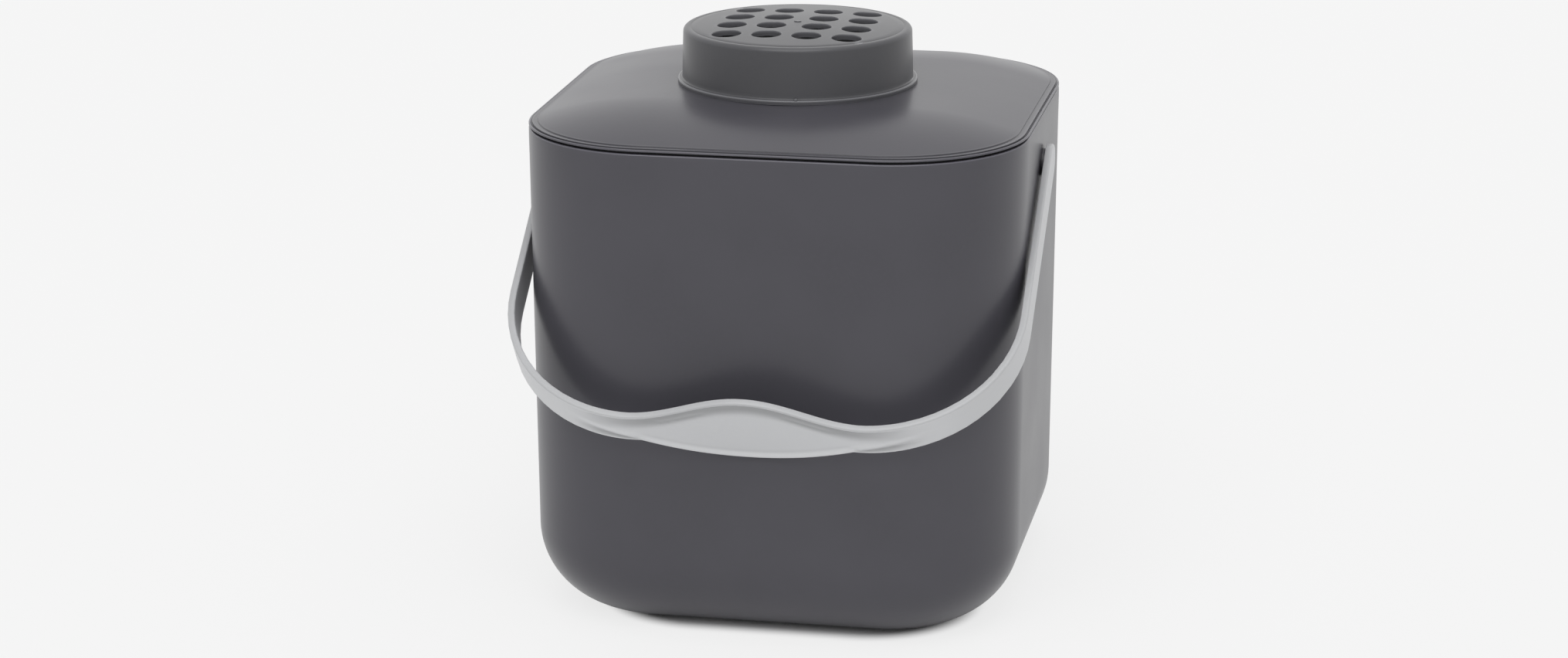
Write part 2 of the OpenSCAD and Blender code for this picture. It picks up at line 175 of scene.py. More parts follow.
class Finishes(PropertyGroup):
    """Colours of the pieces and of the floor"""

    graphite: colour("Graphite", "Body and lid", 71, 70, 76)
    cap: colour("Cap", "Vented cap", 73, 73, 76)
    handle: colour("Handle", "Light grey bail", 203, 204, 206)
    tray: colour("Tray", "Filter tray", 58, 58, 61)
    charcoal: colour("Charcoal", "Filter felt", 24, 24, 25)
    seal: colour("Seal", "Soft seal of the lid", 40, 40, 42)
    steel: colour("Steel", "Hinge pins", 170, 172, 175)
    floor: colour("Floor", "Plain studio floor", 246, 246, 246)


# --- modelling ---


def make_active(obj):
    """Select one object alone and make it the active one."""
    bpy.ops.object.select_all(action="DESELECT")
    obj.select_set(True)
    bpy.context.view_layer.objects.active = obj


def add(kind, name, **settings):
    """Add a primitive of one kind, with its place in its mesh."""
    getattr(bpy.ops.mesh, f"primitive_{kind}_add")(**settings)
    obj = bpy.context.object
    obj.name = obj.data.name = name
    bpy.ops.object.transform_apply(location=True, rotation=True, scale=True)
    return obj


@contextmanager
def editing(obj, kind="FACE", start="DESELECT"):
    """Work on a mesh in edit mode, with nothing or all of it selected."""
    make_active(obj)
    bpy.ops.object.mode_set(mode="EDIT")
    bpy.ops.mesh.select_mode(type=kind)
    bpy.ops.mesh.select_all(action=start)
    yield
    bpy.ops.object.mode_set(mode="OBJECT")


def pick(parts, test):
    """Select only the faces or edges whose middle and direction pass a test."""
    data = bpy.context.edit_object.data
    mesh = bmesh.from_edit_mesh(data)
    for part in getattr(mesh, parts):
        if parts == "faces":
            middle, way = part.calc_center_median(), part.normal
        else:
            start, end = (corner.co for corner in part.verts)
            middle, way = (start + end) / 2, (end - start).normalized()
        part.select_set(bool(test(middle, way)))
    mesh.select_flush_mode()
    bmesh.update_edit_mesh(data)


def arc(x, z, radius, start, end, steps):
    """Points of an arc, in metres and degrees, its ends among them."""
    angles = [radians(start + (end - start) * i / steps) for i in range(steps + 1)]
    return [(x + radius * cos(a), z + radius * sin(a)) for a in angles]


def rows(x, z, *steps):
    """Rows of a profile, each given in millimetres from one point."""
    return [(x + across * MM, z + up * MM) for across, up in steps]


def follow(profile, way, middle=0.0, centre=(0.0, 0.0)):
    """Carry the selected flat face along a profile of distances and heights, row by row.

    way is 1 for a face that looks up and -1 for one that looks down. middle is what a
    distance is counted from, so that a row that grows can be scaled.
    """
    for (x0, z0), (x1, z1) in zip(profile, profile[1:]):
        bpy.ops.mesh.inset(thickness=max(x0 - x1, 0.0), depth=way * (z1 - z0))
        if x1 > x0:
            grow = (middle + x1) / (middle + x0)
            bpy.ops.transform.resize(value=(grow, grow, 1), center_override=(*centre, 0))


def looks(way, low=-1.0, high=1.0):
    """Test for a flat face between two heights that looks up or down."""
    return lambda middle, normal: normal.z * way > FLAT and low < middle.z < high


def rounded_slab(half, corner, z0, z1, steps):
    """Slab with a rounded-square plan, the start of the body and of the lid."""
    place, scale = (0, 0, (z0 + z1) / 2), (2 * half, 2 * half, z1 - z0)
    slab = add("cube", "slab", size=1, location=place, scale=scale)
    with editing(slab, "EDGE"):
        pick("edges", lambda middle, way: abs(way.z) > 0.9)
        bpy.ops.mesh.bevel(offset=corner, segments=steps, profile=0.5, affect="EDGES")
    return slab


def rod(name, radius, start, end, vertices=64):
    """Cylinder between two points."""
    start, end = Vector(start), Vector(end)
    way = end - start
    sizes = {"vertices": vertices, "radius": radius, "depth": way.length}
    turn = way.to_track_quat("Z", "Y").to_euler()
    return add("cylinder", name, location=(start + end) / 2, rotation=turn, **sizes)


def upright(name, radius, y, z0, z1, vertices=128):
    """Upright cylinder between two heights, in the middle plane."""
    return rod(name, radius, (0, y, z0), (0, y, z1), vertices)


def bore(radius, half, y, z):
    """Cutter along X for a hole through both sides of a body with this half width."""
    return rod("bore", radius, (-2 * half, y, z), (2 * half, y, z))


def ease_ends(obj, axis, width):
    """Round the two end edges of a cylinder that lies along an axis."""
    spots = [corner.co[axis] for corner in obj.data.vertices]
    low, high, near = min(spots), max(spots), 1e-6

    def at_end(middle, way):
        away = min(middle[axis] - low, high - middle[axis])
        return away < near and abs(way[axis]) < 0.01

    with editing(obj, "EDGE"):
        pick("edges", at_end)
        bpy.ops.mesh.bevel(offset=width, segments=3, affect="EDGES")


def face_outwards(obj):
    """Turn the faces of a closed shape outwards."""
    with editing(obj, start="SELECT"):
        bpy.ops.mesh.normals_make_consistent(inside=False)


def block(name, low, high, ease=0.0):
    """Box between two corners, its edges eased where that is asked for."""
    low, high = Vector(low), Vector(high)
    place, scale = (low + high) / 2, high - low
    box = add("cube", name, size=1, location=place, scale=scale)
    if ease:
        with editing(box, "EDGE", "SELECT"):
            bpy.ops.mesh.bevel(offset=ease, segments=3, affect="EDGES")
    return box


def side_prism(outline, x0, x1):
    """Prism along X with an outline of depths and heights."""
    prism = add("circle", "prism", vertices=len(outline), fill_type="NGON")
    for corner, (y, z) in zip(prism.data.vertices, outline):
        corner.co = (x0, y, z)
    with editing(prism, start="SELECT"):
        bpy.ops.mesh.extrude_region_move(TRANSFORM_OT_translate={"value": (x1 - x0, 0, 0)})
    face_outwards(prism)
    return prism


def bayonet(r0, r1, z0, z1, ahead):
    """Three lugs of a bayonet lock: blocks that follow a circle."""
    lugs = []
    for middle in (-90, 30, 150):
        lug = add("grid", "lug", x_subdivisions=12, y_subdivisions=1, size=1)
        with editing(lug, start="SELECT"):
            bpy.ops.mesh.extrude_region_move(TRANSFORM_OT_translate={"value": (0, 0, 1)})
        for corner in lug.data.vertices:
            a = radians(middle - corner.co.x * LUG_SPAN)
            r = r0 + (r1 - r0) * (corner.co.y + 0.5)
            z = z0 + (z1 - z0) * corner.co.z
            corner.co = (r * cos(a), ahead + r * sin(a), z)
        face_outwards(lug)
        lugs.append(lug)
    return lugs


def turned_copy(obj, matrix):
    """Copy of a shape with its own mesh, moved by a matrix."""
    twin = obj.copy()
    twin.data = obj.data.copy()
    bpy.context.collection.objects.link(twin)
    twin.data.transform(matrix)
    if matrix.determinant() < 0:
        twin.data.flip_normals()
    return twin


def mirrored(pieces):
    """The pieces and their twins on the other side of the body."""
    flip = Matrix.Scale(-1, 4, (1, 0, 0))
    return pieces + [turned_copy(piece, flip) for piece in pieces]


def carve(obj, tools, operation):
    """Add the tools to a shape or cut them from it, and use them up."""
    make_active(tools[0])
    if len(tools) > 1:
        for tool in tools:
            tool.select_set(True)
        bpy.ops.object.join()
    make_active(obj)
    bpy.ops.object.modifier_add(type="BOOLEAN")
    change = obj.modifiers[-1]
    change.operation = operation
    change.object = tools[0]
    change.solver = "EXACT"
    change.use_self = operation == "UNION"
    bpy.ops.object.modifier_apply(modifier=change.name)
    bpy.data.objects.remove(tools[0])


def keep(obj, name, amount):
    """Keep a number at every corner of a mesh, for its finish to read."""
    values = obj.data.attributes.new(name, "FLOAT", "POINT").data
    for corner in obj.data.vertices:
        values[corner.index].value = amount(corner.co)


def outward(place, middle):
    """Distance of a point from the square that the corner arcs are struck around."""
    return hypot(max(abs(place.x) - middle, 0.0), max(abs(place.y) - middle, 0.0))


def complete(obj, name, finish, body, node, crease=32):
    """Give a shape its clean-up, finish, body and the node that it stands for."""
    obj.name = obj.data.name = name
    with editing(obj, "VERT", "SELECT"):
        bpy.ops.mesh.remove_doubles(threshold=2e-6)
        bpy.ops.mesh.delete_loose()
    make_active(obj)
    bpy.ops.object.shade_smooth_by_angle(angle=radians(crease))
    obj.data.materials.clear()
    obj.data.materials.append(finish)
    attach(obj, body)
    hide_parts(node)


# --- finishes ---


class Term:
    """Output of a shader node, which Python's operators combine with Math nodes."""

    def __init__(self, paint, socket):
        self.paint = paint
        self.socket = socket

    def math(self, operation, *others):
        """Math node that has this value as its first."""
        return self.paint.node("Math", (self, *others), operation=operation)

    def __add__(self, other):
        return self.math("ADD", other)

    def __sub__(self, other):
        return self.math("SUBTRACT", other)

    def __rsub__(self, other):
        return self.paint.node("Math", (other, self), operation="SUBTRACT")

    def __mul__(self, other):
        return self.math("MULTIPLY", other)

    __radd__ = __add__
    __rmul__ = __mul__


class Paint:
    """Node tree of one material or of the world."""

    def __init__(self, owner):
        self.owner = owner
        owner.use_nodes = True
        self.tree = owner.node_tree
        self.tree.nodes.clear()

    def node(self, kind, inputs=(), output=0, **settings):
        """Make a node: its settings first, then the values or links of its sockets."""
        made = self.tree.nodes.new("ShaderNode" + kind)
        for name, value in settings.items():
            setattr(made, name, value)
        pairs = inputs.items() if isinstance(inputs, dict) else enumerate(inputs)
        for key, value in pairs:
            if isinstance(value, Term):
                self.tree.links.new(value.socket, made.inputs[key])
            else:
                made.inputs[key].default_value = value
        return Term(self, made.outputs[output]) if made.outputs else None

    def place(self):
        """Object coordinates, in metres."""
        return self.node("TexCoord", output="Object")

    def kept(self, name):
        """Number that a mesh keeps at its corners, 0 where it keeps none."""
        return self.node("Attribute", output="Fac", attribute_name=name)

    def stretched(self, scale, turn=0.0):
        """Object coordinates, turned about Z and scaled."""
        sockets = {"Vector": self.place(), "Rotation": (0, 0, turn), "Scale": scale}
        return self.node("Mapping", sockets)

    def noise(self, size, detail=2.0, where=None):
        """Soft noise whose blots are about as large as size, in metres."""
        sockets = {"Vector": where or self.place(), "Scale": 1 / size, "Detail": detail}
        return self.node("TexNoise", sockets)

    def window(self, value, low, high, first=0.0, last=1.0):
        """Soft step of a value from first at low to last at high."""
        sockets = (value, low, high, first, last)
        return self.node("MapRange", sockets, interpolation_type="SMOOTHSTEP", clamp=True)

    def mix(self, factor, first, second):
        """Blend of two colours."""
        return self.node("Mix", {0: factor, 6: first, 7: second}, 2, data_type="RGBA")

    def bump(self, height, depth, normal=None):
        """Relief of a height between 0 and 1 that is depth metres deep."""
        sockets = {"Height": height, "Distance": depth}
        if normal:
            sockets["Normal"] = normal
        return self.node("Bump", sockets)

    def rays(self):
        """1 for the rays that show the surroundings."""
        seen = None
        for ray in ("Is Camera Ray", "Is Glossy Ray", "Is Transmission Ray"):
            one = self.node("LightPath", output=ray)
            seen = seen.math("MAXIMUM", one) if seen else one
        return seen

    def close(self, surface, kind="OutputMaterial"):
        """Link the surface to its output, and give back what is painted."""
        self.node(kind, {"Surface": surface})
        return self.owner

    def skin(self, tone, rough, **others):
        """Principled shader: its colour, its roughness and what else it needs."""
        sockets = {"Base Color": tone, "Roughness": rough, **others}
        return self.node("BsdfPrincipled", sockets)


def full(shade, scale=1.0):
    """Four-part colour, made lighter or darker."""
    return tuple(min(part * scale, 1.0) for part in shade[:3]) + (1.0,)


def new_paint(name):
    """Empty material to paint."""
    return Paint(bpy.data.materials.new(name))


def moulded(name, shade, rough, grain, mottle=0.05, worn=0.6, crease_shade=0.35, index=1.42):
    """Moulded plastic: fine grain, slow mottling, uneven gloss, painted highlight on edges and
    painted shade in dips.
    """
    paint = new_paint(name)
    cloud = paint.noise(0.045, 3.0)
    fine = paint.noise(0.0016, 2.0)
    patches = paint.window(cloud, 0.3, 0.7)
    tone = paint.mix(patches, full(shade, 1 - mottle), full(shade, 1 + mottle))
    tone = paint.mix(paint.window(fine, 0.35, 0.7) * 0.5, tone, full(shade, 1 + 0.4 * mottle))
    # colours of the painted highlight and of the painted shade
    pale, dark = full(shade, 2.2), full(shade, 0.45)
    edges, dips = (0.51, 0.56), (0.44, 0.49)  # of Pointiness, which is 0.5 on a flat face
    pointed = paint.node("NewGeometry", output="Pointiness")
    sharp = 1 - paint.kept("calm")
    # painted highlight: convex edges and corners that a mesh marks are lightened, except where the
    # mesh keeps calm
    highlight_mask = paint.window(pointed, *edges) * paint.window(cloud, 0.35, 0.6, 0.55, 1.0) * sharp
    highlight_mask = highlight_mask.math("MAXIMUM", paint.kept("worn"))
    tone = paint.mix(highlight_mask * worn, tone, pale)
    # painted shade: concave dips and corners that a mesh marks are darkened, except where the mesh
    # keeps calm
    hollow = paint.window(pointed, *dips, crease_shade, 0.0) * sharp
    hollow = hollow.math("MAXIMUM", paint.kept("dust") * 0.75)
    tone = paint.mix(hollow, tone, dark)
    gloss = rough + (cloud - 0.5) * 0.09 - highlight_mask * 0.06
    normal = paint.bump(cloud, 60e-6, paint.bump(fine, grain * 1.3))
    return paint.close(paint.skin(tone, gloss, Normal=normal, IOR=index))


def felt(name, shade):
    """Charcoal felt: matted fibres in two directions with pale flecks."""
    paint = new_paint(name)
    one, other = (paint.noise(0.004, 4.0, paint.stretched((9, 1, 1), t)) for t in (0.35, -0.8))
    web = one * 0.5 + other * 0.5
    fleck = paint.window(paint.noise(0.0009, 1.0), 0.66, 0.74)
    tone = paint.mix(paint.window(web, 0.35, 0.65), full(shade, 0.7), full(shade, 1.6))
    tone = paint.mix(fleck * 0.5, tone, full(shade, 4.0))
    return paint.close(paint.skin(tone, 0.9 + fleck * 0.05, Normal=paint.bump(web, 0.0005)))


def brushed_steel(name, shade):
    """Drawn steel wire: fine lines along the pin and a soft shine."""
    paint = new_paint(name)
    lines = paint.noise(0.0003, 3.0, paint.stretched((0.06, 1, 1)))
    tone = paint.mix(lines, full(shade, 0.8), full(shade, 1.1))
    relief = paint.bump(lines, 15e-6)
    return paint.close(paint.skin(tone, 0.28 + lines * 0.14, Normal=relief, Metallic=1.0))


def soft_rubber(name, shade):
    """Soft seal: dull skin with fine pits and a dusty bloom."""
    paint = new_paint(name)
    pits = paint.noise(0.0007, 3.0)
    # real dust: a random bloom over the seal
    dust = paint.window(paint.noise(0.012, 4.0), 0.45, 0.75)
    tone = paint.mix(dust * 0.35, full(shade), full(shade, 2.0))
    return paint.close(paint.skin(tone, 0.72 + dust * 0.12, Normal=paint.bump(pits, 40e-6)))


def give(node, material):
    """Put a finish on a node that is shown as it is."""
    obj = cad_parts[node]
    if not obj.material_slots:
        obj.data.materials.append(material)
    for place in obj.material_slots:
        place.material = material


# --- the pieces ---


def barrels(lid, outline, width, middles):
    """Barrels of one width round the pins, each with its web, on both sides."""
    made = []
    y, z = lid.hinge_y, lid.hinge_z
    for x in middles:
        x0, x1 = x - width / 2, x + width / 2
        barrel = rod("barrel", lid.knuckle, (x0, y, z), (x1, y, z))
        ease_ends(barrel, 0, 0.3 * MM)
        made += [barrel, side_prism(outline, x0 + 0.02 * MM, x1 - 0.02 * MM)]
    return mirrored(made)


def knuckles(lid, body):
    """Knuckles of the lid: straps from its edge, behind the rim and round the pins."""
    y, z, r = lid.hinge_y, lid.hinge_z, lid.knuckle
    base = body.height + lid.gap
    root = body.half - lid.band_width + lid.band_round
    top = base + lid.band_height - 0.2 * MM
    front = body.half + 0.5 * MM
    outline = [(root, base + 0.3 * MM), (root, top), (body.half, top)]
    outline += [(y + r * 0.3, z + r * 0.8), (y, z), (front, z), (front, body.height)]
    outline += rows(body.half, base, (-0.2, 0.1))
    return barrels(lid, outline, lid.knuckle_width, [lid.hinge_x])


def lugs(lid, body):
    """Lugs of the body, one on each side of every knuckle."""
    y, z, r = lid.hinge_y, lid.hinge_z, lid.knuckle
    root = body.half - body.wall * 0.6
    lean, upper, slope = radians(25), radians(110), radians(20)
    high = (y + r * cos(upper), z + r * sin(upper))
    low = (y + r * cos(lean), z - r * sin(lean))
    above = (root, high[1] - (high[0] - root) * tan(slope))
    below = (root, low[1] - (low[0] - root) / tan(lean))
    play = 0.3 * MM
    away = lid.knuckle_width / 2 + play + lid.lug / 2
    middles = (lid.hinge_x - away, lid.hinge_x + away)
    return barrels(lid, [above, high, low, below], lid.lug, middles)


def inner_face(body, z):
    """Distance of the inside of the body's side from the middle, at a height."""
    return body.half - body.draft * (body.height - z) / body.height - body.wall


def make_body(sizes, lid, handle):
    """Body: a slab carried down the wall, round the base and back up inside."""
    height, corner, wall = sizes.height, sizes.corner, sizes.wall
    middle = sizes.half - corner
    lean = degrees(atan(sizes.draft / height))

    def side(z, inset=0.0):
        return corner - sizes.draft * (height - z) / height - inset

    levels = [z * MM for z in (185, 165, 140, 115, 90, 70, 52, 40)]
    start = height - 4 * MM
    bend = side(sizes.base) - sizes.base
    flat = bend - 3.2 * MM
    outside = [(corner, start)] + [(side(z), z) for z in levels]
    outside += arc(bend, sizes.base, sizes.base, -lean, -90, 20)
    outside += rows(flat, 0, (0, 0)) + rows(flat, sizes.channel, (-0.3, 0), (-2.7, 0))
    outside += rows(flat, 0, (-3, 0))
    soft = sizes.rim_round
    lip = 0.4 * MM
    rim = corner - sizes.rim_width
    inside = arc(corner - soft, height - soft, soft, 0, 90, 6)
    inside += arc(rim + lip, height - lip, lip, 90, 180, 3)
    below = height - sizes.rim_height
    step = sizes.rim_width - wall
    inside += [(rim, below), (side(below - step, wall), below - step)]
    inside += [(side(z, wall), z) for z in levels[1:]]
    inside += arc(bend, sizes.base, sizes.base - wall, -lean, -90, 16)

    body = rounded_slab(sizes.half, corner, start, height - soft, sizes.steps)
    with editing(body):
        pick("faces", looks(-1))
        follow(outside, -1, middle)
        pick("faces", looks(1, start))
        follow(inside, 1, middle)

    outer = handle.inside - 0.25 * MM
    inner = inner_face(sizes, handle.pivot) - 0.6 * MM
    boss = rod("boss", sizes.boss, (inner, 0, handle.pivot), (outer, 0, handle.pivot))
    ease_ends(boss, 0, 0.2 * MM)
    carve(body, mirrored([boss]) + lugs(lid, sizes), "UNION")
    peg_play, pin_play = 0.05 * MM, 0.03 * MM
    peg_bore = bore(handle.peg + peg_play, sizes.half, 0, handle.pivot)
    pin_bore = bore(lid.pin + pin_play, sizes.half, lid.hinge_y, lid.hinge_z)
    carve(body, [peg_bore, pin_bore], "DIFFERENCE")
    # painted highlight along the outer edge of the rim
    edge = (corner - 0.85 * soft, height - 0.6 * soft)
    keep(body, "worn", lambda place: outward(place, middle) > edge[0] and place.z > edge[1])

    def by_lugs(place):
        """1 on the back wall round the roots of the lugs."""
        on_wall = abs(outward(place, middle) - side(place.z)) < 0.1 * MM
        return on_wall and place.y > 0 and abs(place.x) < 2 * lid.hinge_x and place.z > 150 * MM

    keep(body, "calm", by_lugs)
    return body


def make_lid(body, sizes, cap):
    """Lid: band, groove and dome above, skirt and hollow below, collar and hole under the cap."""
    corner = body.corner
    middle = body.half - corner
    base = body.height + sizes.gap
    band = base + sizes.band_height
    rim = corner - sizes.band_width
    wide = rim - sizes.bank_width
    low = sizes.height - sizes.band_height - sizes.bank
    radius = (wide * wide + low * low) / (2 * low)
    floor = base + sizes.height - radius

    def dome(x, thick=0.0):
        return floor + sqrt((radius - thick) ** 2 - x * x)

    bead, sheet = 0.5 * MM, 0.2 * MM
    low_edge = base + 0.3 * MM
    top = arc(corner - bead, low_edge + sheet, bead, 0, 100, 6)
    top += rows(rim, low_edge, (2.3, 0.35), (2.05, 0.35))
    top += rows(rim, band, (1.98, -0.12), (1.8, 0), (0.1, 0), (-0.15, 0.04))
    bank = [(rim - 0.3 * MM, 0.8), (rim - 0.5 * MM, 0.95), (wide, 1)]
    top += [(x, band + sizes.bank * share) for x, share in bank]
    reaches = [wide - 0.6 * MM] + [wide * (1 - i / 22) for i in range(1, 22)] + [1.2 * MM]
    top += [(x, dome(x)) for x in reaches]
    skirt = corner - sizes.skirt_out
    foot = base - sizes.skirt_drop
    ease = 0.5 * MM
    inner = skirt - sizes.skirt
    under = rows(corner, low_edge, (0, 0), (-0.2, -0.1)) + rows(skirt, low_edge, (2, -0.1))
    under += rows(skirt, base, (1.6, 0), (0.3, 0), (0, -0.3))
    under += arc(skirt - ease, foot + ease, ease, 0, -90, 3)
    under += arc(inner + ease, foot + ease, ease, -90, -180, 3)
    spans = [inner * (1 - i / 14) for i in range(14)] + [1.2 * MM]
    under += [(x, dome(x, sizes.wall)) for x in spans]

    lid = rounded_slab(body.half, corner, low_edge, low_edge + sheet, body.steps)
    with editing(lid):
        pick("faces", looks(1))
        follow(top, 1, middle)
        pick("faces", looks(-1, high=low_edge + 0.01 * MM))
        follow(under, -1, middle)

    crown = base + sizes.height
    ahead = -cap.forward
    outer = cap.seat + cap.collar
    collar_top, lock_low, lock_high = (crown + z * MM for z in (11, 8.4, 10.4))
    collar = upright("collar", outer, ahead, crown - sizes.wall / 2, collar_top)
    ease_ends(collar, 2, 0.4 * MM)
    lock = bayonet(outer - 0.5 * MM, outer + 1.6 * MM, lock_low, lock_high, ahead)
    carve(lid, [collar], "UNION")
    carve(lid, lock + knuckles(sizes, body), "UNION")
    ledge, pin_play, clear = 3.6 * MM, 0.07 * MM, 20 * MM
    cuts = (
        upright("seat", cap.seat, ahead, crown, crown + clear),
        upright("hole", cap.seat - ledge, ahead, crown - clear, crown + 1 * MM),
        bore(sizes.pin + pin_play, body.half, sizes.hinge_y, sizes.hinge_z),
    )
    for cut in cuts:
        carve(lid, [cut], "DIFFERENCE")

    def painted_groove_shade(place):
        """Painted shade in the groove of the band and at the foot of the bank."""
        away = (outward(place, middle) - rim) / MM
        if place.z < low_edge + 0.4 * MM:
            return 0.0
        return 0.9 if 1.9 < away < 2.4 else 0.6 if -0.4 < away < 0 else 0.0

    keep(lid, "dust", painted_groove_shade)
    # painted highlight along the bead of the band
    high = low_edge + 0.5 * MM
    keep(lid, "worn", lambda place: outward(place, middle) > corner - 0.9 * MM and place.z > high)
    under_dome = crown - 0.7 * sizes.wall
    keep(lid, "calm", lambda place: outward(place, middle) < 2 * MM and place.z < under_dome)
    return lid


def vent_cutter(sizes):
    """Cutter of one vent: a straight hole whose upper edge is eased outwards."""
    r = sizes.vent
    cutter = rod("vent", r, (0, 0, -6 * MM), (0, 0, -0.45 * MM), 56)
    with editing(cutter):
        pick("faces", looks(1))
        follow(rows(r, 0, (0, -0.45), (0.03, -0.3), (0.12, -0.12), (0.3, 0.03), (0.5, 2)), 1)
    return cutter


def make_cap(sizes):
    """Cap: flange, wall and crowned top turned up from a thin disc, then vented."""
    foot = sizes.radius + sizes.draft
    reach = foot + sizes.flange
    ahead, ground = -sizes.forward, sizes.foot
    ring = sizes.flange_high / 2
    fillet = sizes.fillet * 0.75
    thin = 0.05 * MM
    shoulder = sizes.height - sizes.crown
    crown_x = sizes.radius - sizes.edge
    radius = (crown_x**2 + sizes.crown**2) / (2 * sizes.crown)

    def crown(x, drop=0.0):
        return sizes.height - drop - radius + sqrt(radius**2 - x * x)

    top = arc(reach - ring, ring, ring, 3, 90, 6)
    top += arc(foot + fillet, 2 * ring + fillet, fillet, 270, 180, 5)
    top += [(foot - 0.06 * MM, 3.2 * MM), (sizes.radius + 0.25 * MM, 12 * MM)]
    top += arc(crown_x, shoulder - sizes.edge, sizes.edge, 0, 86, 7)
    line = crown_x - 1.3 * MM
    groove = rows(line, crown(line), (0.15, -0.1), (-0.15, -0.1))
    lips = [(x, crown(x)) for x in (line + 0.35 * MM, line - 0.35 * MM)]
    top += [lips[0], *groove, lips[1]]
    top += [(x * MM, crown(x * MM)) for x in range(40, 0, -4)]
    inner = sizes.radius - sizes.wall
    ceiling = shoulder - sizes.top
    under = rows(reach, 0, (-0.05, 0.25), (-0.12, -0.22), (-0.9, -0.22), (-1.1, 0))
    under += [(inner + sizes.draft, 0)] + rows(inner, ceiling, (0, -0.5), (-0.5, 0))
    under += [(x * MM, crown(x * MM, sizes.top)) for x in range(40, 0, -6)]

    def lifted(profile):
        return [(x, z + ground) for x, z in profile]

    cap = upright("cap", reach, ahead, ground + ring - thin, ground + ring + thin, 144)
    with editing(cap):
        pick("faces", looks(1))
        follow(lifted([(reach, ring + thin)] + top), 1, 0, (0, ahead))
        pick("faces", looks(-1, high=ground + ring))
        follow(lifted([(reach, ring - thin)] + under), -1, 0, (0, ahead))

    ribs = []
    over_filter, into_top, t = 220.8 * MM, ground + ceiling + 1.1 * MM, 0.8 * MM
    for side in (-1, 1):
        near, far = sorted((side * inner * 0.7, side * (inner + 0.5 * MM)))
        ribs.append(block("rib", (near, ahead - t, over_filter), (far, ahead + t, into_top)))
        ribs.append(block("rib", (-t, ahead + near, over_filter), (t, ahead + far, into_top)))
    front, behind, t = -reach + 0.2 * MM, -foot + 0.2 * MM, 0.6 * MM
    low, high = ground + 0.01 * MM, ground + 2.3 * MM
    index = block("index", (-t, front, low), (t, behind, high), 0.25 * MM)
    index.data.transform(Matrix.Translation((0, ahead, 0)) @ Matrix.Rotation(sizes.index, 4, "Z"))
    mark_low, mark_high, lock_low, lock_high = (ground + z * MM for z in (23.2, 24, 5.85, 7.85))
    mark = upright("mark", 1.5 * MM, ahead, mark_low, mark_high, 40)
    ease_ends(mark, 2, 0.2 * MM)
    lug_tip, into_wall = 42.7 * MM, 0.7 * MM
    lock = bayonet(lug_tip, inner + into_wall, lock_low, lock_high, ahead)
    carve(cap, ribs + [index, mark] + lock, "UNION")

    cutter = vent_cutter(sizes)
    cuts, vents = [], []
    for row, column in product((-1.5, -0.5, 0.5, 1.5), repeat=2):
        extra = sizes.spread if abs(row) < 1 else 0
        x = column * sizes.pitch + copysign(extra, column)
        y = row * sizes.pitch
        away = hypot(x, y)
        tilt = Matrix.Rotation(asin(away / radius), 4, Vector((-y, x, 0)))
        move = Matrix.Translation((x, y + ahead, ground + crown(away)))
        vents.append((x, y + ahead))
        cuts.append(turned_copy(cutter, move @ tilt))
    bpy.data.objects.remove(cutter)
    carve(cap, cuts, "DIFFERENCE")

    def highlight_mask(place):
        """1 for painted highlight on the bead of the flange and at the mouths of the vents."""
        away = hypot(place.x, place.y - ahead)
        if away > reach - 0.8 * ring:
            return ground + 1.4 * ring < place.z < ground + 2.3 * ring
        mouth = min(hypot(place.x - x, place.y - y) for x, y in vents)
        return mouth < sizes.vent + 0.2 * MM and place.z > ground + crown(away) - 0.7 * MM

    keep(cap, "worn", highlight_mask)
    return cap


def make_filter():
    """Charcoal filter: a thick felt disc with soft edges."""
    low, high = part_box("charcoal_filter")
    middle = (low + high) / 2
    r = (high.x - low.x) / 2
    soft, start = 1 * MM, 0.3 * MM
    disc = upright("disc", r, middle.y, middle.z - start, middle.z + start, 96)
    with editing(disc):
        for way, end in ((1, high.z), (-1, low.z)):
            pick("faces", looks(way))
            edge = arc(r - soft, end - way * soft, soft, 0, way * 90, 4)
            sunk = end - way * 0.05 * MM
            flat = [(r - 2 * MM, end)] + [(r - x * MM, sunk) for x in (5, 12, 22)]
            follow([(r, middle.z + way * start)] + edge + flat, way, 0, (0, middle.y))
    return disc


def smooth(value, low, high):
    """Soft step from 0 at low to 1 at high."""
    t = min(max((value - low) / (high - low), 0.0), 1.0)
    return t * t * (3 - 2 * t)


def bell(value, middle, width):
    """Soft bump of height 1."""
    return exp(-(((value - middle) / width) ** 2))


